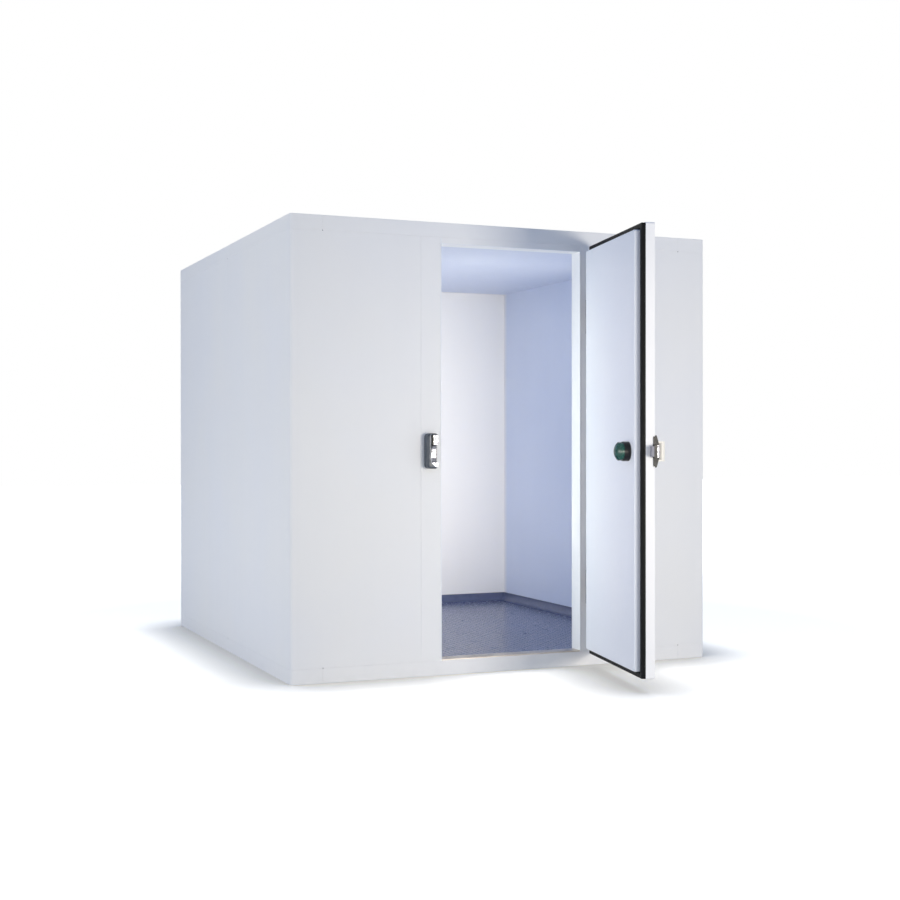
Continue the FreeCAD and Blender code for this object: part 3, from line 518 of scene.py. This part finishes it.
def dress_frame():
    """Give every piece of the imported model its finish."""
    slot_of = {part["node"]: part["material_slot"] for part in frame["record"]["subparts"]}
    for name, node in NODES.items():
        finish = NODE_FINISHES.get(name) or SLOT_FINISHES[slot_of[name]]
        if not node.data.materials:
            node.data.materials.append(finish)
        for index in range(len(node.material_slots)):
            node.material_slots[index].link = "OBJECT"
            node.material_slots[index].material = finish


def add_piece(name, vertices, faces, finish, body):
    """A mesh piece in the room's frame, which rides on a body."""
    mesh = bpy.data.meshes.new(name)
    mesh.from_pydata([tuple(v) for v in vertices], [], faces)
    mesh.update()
    mesh.materials.append(finish)
    piece = bpy.data.objects.new(name, mesh)
    bpy.context.scene.collection.objects.link(piece)
    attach(piece, body)


def floor_studs():
    """Raised lozenges over the floor covering, turned one way and the other like a weave."""
    low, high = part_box("floor_covering")
    cove_low, cove_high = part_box("cove_rear")
    cove_width = cove_high.y - cove_low.y
    head_low, head_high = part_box("lining_head")
    columns = int((high.x - low.x - 2 * cove_width) / STUD_PITCH)
    rows = int((high.y - low.y) / STUD_PITCH)
    start_x = (low.x + high.x) / 2 - (columns - 1) * STUD_PITCH / 2
    start_y = high.y - cove_width - STUD_MARGIN
    angles = [2 * math.pi * n / STUD_SIDES for n in range(STUD_SIDES)]
    base = np.array([(math.cos(a) * STUD_LENGTH / 2, math.sin(a) * STUD_WIDTH / 2) for a in angles])
    vertices, faces = [], []
    for row in range(rows):
        for column in range(columns):
            x = start_x + column * STUD_PITCH
            y = start_y - row * STUD_PITCH
            in_doorway = head_low.x + STUD_MARGIN < x < head_high.x - STUD_MARGIN
            front = (head_high.y if in_doorway else low.y + cove_width) + STUD_MARGIN
            if y < front:
                continue
            turn = STUD_TURN if (row + column) % 2 else -STUD_TURN
            c, s = math.cos(turn), math.sin(turn)
            first = len(vertices)
            for share, z in ((1.0, high.z - SUNK), (STUD_TOP_SHARE, high.z + STUD_HEIGHT)):
                for px, py in base * share:
                    vertices.append((x + px * c - py * s, y + px * s + py * c, z))
            for n in range(STUD_SIDES):
                m = (n + 1) % STUD_SIDES
                faces.append((first + n, first + m, first + STUD_SIDES + m, first + STUD_SIDES + n))
            faces.append(tuple(first + STUD_SIDES + n for n in range(STUD_SIDES)))
    add_piece("floor_studs", vertices, faces, FLOOR_FINISH, "room")


def ring(place, normal, size, height, sides, hexagon=False):
    """Points about a normal, at a height over place: a circle, or a hexagon that it goes round."""
    normal = Vector(normal).normalized()
    across = Vector((0, 0, 1)) if abs(normal.z) < 0.9 else Vector((1, 0, 0))
    side = across.cross(normal).normalized()
    up = normal.cross(side)
    points = []
    for n in range(sides):
        angle = 2 * math.pi * n / sides
        reach = size
        if hexagon:
            half = SOCKET_SECTOR / 2
            reach = size * math.cos(half) / math.cos((angle % SOCKET_SECTOR) - half)
        points.append(Vector(place) + side * math.cos(angle) * reach + up * math.sin(angle) * reach
                      + normal * height)
    return points


def lofted(solids):
    """One mesh of several solids. Each is closed between its first ring and its last."""
    vertices, faces = [], []
    for rings in solids:
        first = len(vertices)
        count = len(rings[0])
        vertices += [point for points in rings for point in points]
        for k in range(len(rings) - 1):
            low, high = first + k * count, first + (k + 1) * count
            for n in range(count):
                m = (n + 1) % count
                faces.append((low + n, low + m, high + m, high + n))
        faces.append(tuple(first + n for n in reversed(range(count))))
        faces.append(tuple(first + (len(rings) - 1) * count + n for n in range(count)))
    return vertices, faces


def screw_head(place, normal, radius, rise):
    """A domed screw head with a hexagon socket, its rim at place."""
    rings = [ring(place, normal, radius, -SUNK, SCREW_SIDES)]
    for share, lift in SCREW_DOME:
        rings.append(ring(place, normal, radius * share, rise * lift, SCREW_SIDES))
    for share, height in ((SOCKET_MOUTH, rise), (SOCKET_FLOOR, rise - radius * SOCKET_DEPTH)):
        rings.append(ring(place, normal, radius * share, height, SCREW_SIDES, hexagon=True))
    return rings


def screws(name, places, normal, size, body, finish=SCREW):
    """Several screw heads as one piece. Their size is a radius and a rise."""
    vertices, faces = lofted([screw_head(place, normal, *size) for place in places])
    add_piece(name, vertices, faces, finish, body)


def along_door(across, out, height=0.0):
    """A direction given in the shut door's frame."""
    return (across * DOOR_COS - out * DOOR_SIN, across * DOOR_SIN + out * DOOR_COS, height)


def on_door(across, out, height):
    """A place on the door, measured from its pin with the door shut, in the room's frame."""
    x, y, z = along_door(across, out, height)
    return (DOOR_PIN[0] + x, DOOR_PIN[1] + y, z)


def hinge_screws():
    """Three screws in each frame plate and four in each leaf plate."""
    for name, centre in zip(("lower", "upper"), HINGE_CENTRES):
        _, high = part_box(f"hinge_{name}_frame_half")
        places = [(high.x - HINGE_SCREW_EDGE, FRONT_Y - HINGE_PLATE, centre + dz)
                  for dz in (-HINGE_SCREW_STEP, 0, HINGE_SCREW_STEP)]
        screws(f"hinge_{name}_frame_screws", places, (0, -1, 0), HINGE_SCREW, "room")
        places = [on_door(across, LEAF_PLATE_FACE, centre + dz)
                  for across in LEAF_SCREW_PLACES for dz in (-HINGE_SCREW_STEP, HINGE_SCREW_STEP)]
        screws(f"hinge_{name}_leaf_screws", places, along_door(0, -1), HINGE_SCREW, "door")


def threshold_screws():
    """Four countersunk screws along the middle of the threshold."""
    low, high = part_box("threshold")
    middle = (low.x + high.x) / 2
    half = (high.x - low.x) / 2 - THRESHOLD_SCREW_EDGE
    places = [(middle + share * half, (low.y + high.y) / 2, high.z) for share in THRESHOLD_SCREW_SHARES]
    screws("threshold_screws", places, (0, 0, 1), THRESHOLD_SCREW, "room")


def lock_screws():
    """Two screws in the keeper, and one at each end of the lock's bowed cover."""
    places = [(*KEEPER_SCREW_PLACE, LOCK_Z + dz) for dz in (-KEEPER_SCREW_STEP, KEEPER_SCREW_STEP)]
    screws("keeper_screws", places, (0, -1, 0), KEEPER_SCREW, "room")
    slope = COVER_SCREW_STEP / COVER_BOW
    for name, side in (("low", -1), ("high", 1)):
        place = on_door(*COVER_SCREW_PLACE, LOCK_Z + side * COVER_SCREW_STEP)
        normal = along_door(0, -math.sqrt(1 - slope * slope), side * slope)
        screws(f"cover_screw_{name}", [place], normal, COVER_SCREW, "door", BLACK)


def joint_plugs():
    """Plugs of sealant where the upright joints of the edge bands meet the wall joint."""
    spots = []
    for z in DECK_SEAMS:
        for side in (-1, 1):
            spots.append(((side * SEAM_X, FRONT_Y, z), (0, -1, 0)))
            spots.append(((side * SEAM_X, -FRONT_Y, z), (0, 1, 0)))
            spots.append(((side * SIDE_X, SIDE_JOINT_Y, z), (side, 0, 0)))
    plugs = [[ring(place, normal, PLUG_RADIUS * share, PLUG_RISE * lift, PLUG_SIDES)
              for share, lift in PLUG_RINGS] for place, normal in spots]
    vertices, faces = lofted(plugs)
    add_piece("joint_plugs", vertices, faces, JOINT_PLUG, "room")


def light_rays(tree, *names):
    """1 for the kinds of ray that are named, 0 for the others."""
    rays = tree.nodes.new("ShaderNodeLightPath")
    share = rays.outputs[names[0]]
    for name in names[1:]:
        either = tree.nodes.new("ShaderNodeMath")
        either.operation = "MAXIMUM"
        tree.links.new(share, either.inputs[0])
        tree.links.new(rays.outputs[name], either.inputs[1])
        share = either.outputs[0]
    return share


def stage_floor():
    """A pale floor that keeps the room's shadow and reads as white to the camera, with a painted shadow
    that dims its glow near the room.
    """
    bpy.ops.mesh.primitive_plane_add(size=FLOOR_SIZE, location=(0, 0, 0))
    floor = bpy.context.object
    floor.name = "stage_floor"
    made = Finish("stage_white")
    tree = made.tree
    tree.nodes.remove(made.shader)
    diffuse = made.node("ShaderNodeBsdfDiffuse")
    diffuse.inputs["Color"].default_value = FLOOR_COLOUR
    away = made.node("ShaderNodeVectorMath", operation="LENGTH")
    made.put(away.inputs[0], made.place)
    lift = made.ramp(away.outputs["Value"], *FLOOR_FADE, FLOOR_LIFT_NEAR, FLOOR_LIFT_FAR)
    # painted shadow: the glow that the camera sees is dimmed where the room is near
    contact = made.node("ShaderNodeAmbientOcclusion", samples=CONTACT_SAMPLES)
    contact.inputs["Distance"].default_value = PAINTED_SHADOW_REACH
    shade = made.math("POWER", contact.outputs["AO"], PAINTED_SHADOW_DEPTH)
    glow = made.node("ShaderNodeEmission")
    made.put(glow.inputs["Strength"],
             made.math("MULTIPLY", made.math("MULTIPLY", lift, shade), light_rays(tree, *SEEN_RAYS)))
    both = made.node("ShaderNodeAddShader")
    made.put(both.inputs[0], diffuse.outputs[0])
    made.put(both.inputs[1], glow.outputs[0])
    made.put(tree.nodes["Material Output"].inputs["Surface"], both.outputs[0])
    floor.data.materials.append(made.material)


def sky():
    """Soft cool light from all round, which the camera and reflections see as white."""
    world = bpy.data.worlds.new("studio")
    bpy.context.scene.world = world
    world.use_nodes = True
    tree = world.node_tree
    tree.nodes.clear()
    output = tree.nodes.new("ShaderNodeOutputWorld")
    choice = tree.nodes.new("ShaderNodeMixShader")
    tree.links.new(light_rays(tree, *SEEN_RAYS), choice.inputs[0])
    for index, (colour, strength) in enumerate(((SKY_COLOUR, SKY_STRENGTH), (WHITE, 1.0)), start=1):
        backdrop = tree.nodes.new("ShaderNodeBackground")
        backdrop.inputs["Color"].default_value = colour
        backdrop.inputs["Strength"].default_value = strength
        tree.links.new(backdrop.outputs[0], choice.inputs[index])
    tree.links.new(choice.outputs[0], output.inputs["Surface"])


def softbox(name, place, target, width, height, power, colour, spread):
    """A lamp with a soft face, turned to its target and not seen by the camera."""
    light = bpy.data.lights.new(name, "AREA")
    light.shape = "RECTANGLE"
    light.size = width
    light.size_y = height
    light.energy = power
    light.color = colour
    light.spread = math.radians(spread)
    lamp = bpy.data.objects.new(name, light)
    bpy.context.scene.collection.objects.link(lamp)
    lamp.location = place
    lamp.rotation_mode = "QUATERNION"
    lamp.rotation_quaternion = (Vector(target) - Vector(place)).to_track_quat("-Z", "Y")
    lamp.visible_camera = False


def camera():
    """The camera, at the photograph's viewing angle."""
    data = bpy.data.cameras.new("camera")
    data.lens = CAMERA_LENS
    data.sensor_width = SENSOR_WIDTH
    lens = bpy.data.objects.new("camera", data)
    bpy.context.scene.collection.objects.link(lens)
    lens.location = CAMERA_PLACE
    lens.rotation_euler = [math.radians(turn) for turn in (90 + CAMERA_PITCH, CAMERA_ROLL, -CAMERA_YAW)]
    bpy.context.scene.camera = lens


dress_frame()
floor_studs()
hinge_screws()
threshold_screws()
lock_screws()
joint_plugs()
stage_floor()
sky()
for lamp in LAMPS:
    softbox(*lamp)
camera()
bpy.context.scene.view_settings.view_transform = "Standard"
